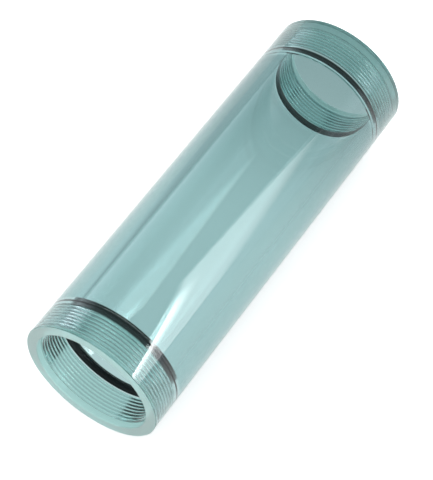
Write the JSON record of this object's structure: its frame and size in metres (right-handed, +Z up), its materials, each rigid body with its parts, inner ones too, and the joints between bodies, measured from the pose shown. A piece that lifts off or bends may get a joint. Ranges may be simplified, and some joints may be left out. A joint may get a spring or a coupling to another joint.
{
  "type": "sight glass",
  "caption": "Clear teal-tinted tube with an internal screw thread and a black O-ring inside each open end, for viewing the flow in a pipe.",
  "frame": {"origin": "on the surface that the tube lies on, under the middle of its length", "axes": "+X along the tube's axis, +Z up, with the tube lying on its side"},
  "size_m": [0.181, 0.06, 0.06],
  "materials": {
    "clear_acrylic": "polished clear, tinted teal, with satin machined threads and end faces",
    "black_rubber": "satin moulded rubber"
  },
  "bodies": {
    "root": {"sight_tube": "clear_acrylic", "left_o_ring": "black_rubber", "right_o_ring": "black_rubber"}
  },
  "joints": []
}
